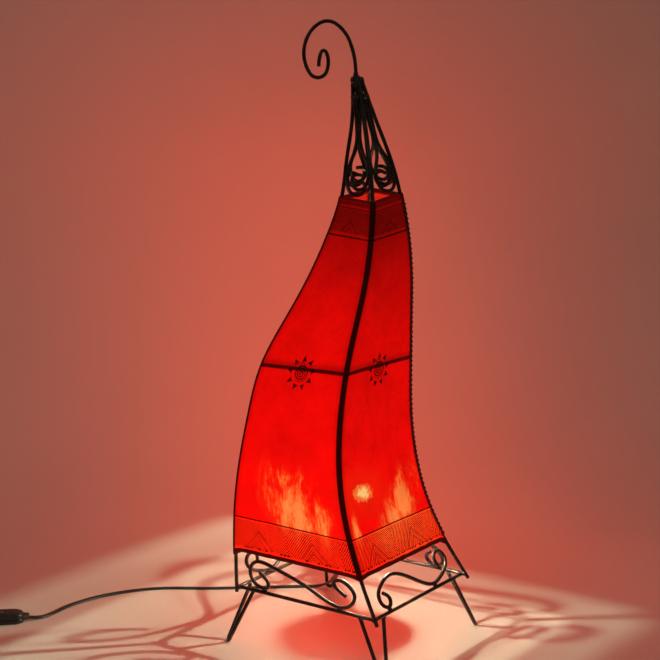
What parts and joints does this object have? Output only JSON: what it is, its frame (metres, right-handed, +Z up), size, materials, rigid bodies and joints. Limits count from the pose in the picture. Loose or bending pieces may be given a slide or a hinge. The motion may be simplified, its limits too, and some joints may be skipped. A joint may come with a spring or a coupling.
{
  "type": "moroccan table lantern",
  "caption": "Flame-shaped table lantern: bent iron frame with scroll base and crown, dyed goatskin shade, screw-in bulb, inline rocker switch and plug lead.",
  "frame": {"origin": "on the floor, under the centre of the bounding box of the lantern and its lead; the axis of the square base is at X +0.2089 m, Y 0", "axes": "+Z up, -Y towards the front rib, +X towards the laced rib, -X towards the plug"},
  "size_m": [0.716, 0.3586, 0.7028],
  "materials": {
    "wrought_iron": "dark hand-rubbed patina, worn to warm metal on the crests",
    "dyed_goatskin": "translucent dyed rawhide with drawn henna bands",
    "skin_lace": "twisted rawhide lace",
    "black_plastic": "fine moulded texture",
    "rocker_plastic": "semi-gloss",
    "brass": "rolled",
    "plated_steel": "nickel plated",
    "bulb_glass": "clear blown glass",
    "filament": "lit filament on its stem",
    "cable_sheath": "flexible sheath, slightly ribbed"
  },
  "bodies": {
    "lantern": {"rib_front": "wrought_iron", "rib_right": "wrought_iron", "rib_back": "wrought_iron", "rib_left": "wrought_iron", "base_ring": "wrought_iron", "shade_ring_bottom": "wrought_iron", "shade_ring_middle": "wrought_iron", "shade_ring_top": "wrought_iron", "leg_front": "wrought_iron", "leg_right": "wrought_iron", "leg_back": "wrought_iron", "leg_left": "wrought_iron", "base_scroll_front_right": "wrought_iron", "base_scroll_back_right": "wrought_iron", "base_scroll_back_left": "wrought_iron", "base_scroll_front_left": "wrought_iron", "crown_scroll_front_right_a": "wrought_iron", "crown_scroll_front_right_b": "wrought_iron", "crown_scroll_back_right_a": "wrought_iron", "crown_scroll_back_right_b": "wrought_iron", "crown_scroll_back_left_a": "wrought_iron", "crown_scroll_back_left_b": "wrought_iron", "crown_scroll_front_left_a": "wrought_iron", "crown_scroll_front_left_b": "wrought_iron", "finial_scroll": "wrought_iron", "holder_bridge": "wrought_iron", "shade_skin": "dyed_goatskin", "seam_lacing": "skin_lace", "holder_body": "black_plastic", "holder_nut_lower": "black_plastic", "holder_nut_upper": "black_plastic", "holder_cap": "black_plastic", "holder_thread_shell": "brass", "holder_contact": "brass", "flex_lamp": "cable_sheath", "flex_plug": "cable_sheath", "switch_base": "black_plastic", "switch_cover": "black_plastic", "switch_screw_a": "plated_steel", "switch_screw_b": "plated_steel", "plug_body": "black_plastic", "plug_pin_a": "plated_steel", "plug_pin_b": "plated_steel"},
    "bulb": {"bulb_cap": "brass", "bulb_glass": "bulb_glass", "bulb_stem": "filament"},
    "rocker": {"switch_rocker": "rocker_plastic"}
  },
  "joints": [
    {"name": "rocker_switch", "type": "hinge", "parent": "lantern", "child": "rocker", "pos_m": [-0.2001, 0.095, 0.0115], "axis": [0, 1, 0], "range_deg": [-18, 0]},
    {"name": "bulb_unscrew", "type": "slide", "parent": "lantern", "child": "bulb", "axis": [0, 0, 1], "range_m": [0, 0.034]}
  ]
}
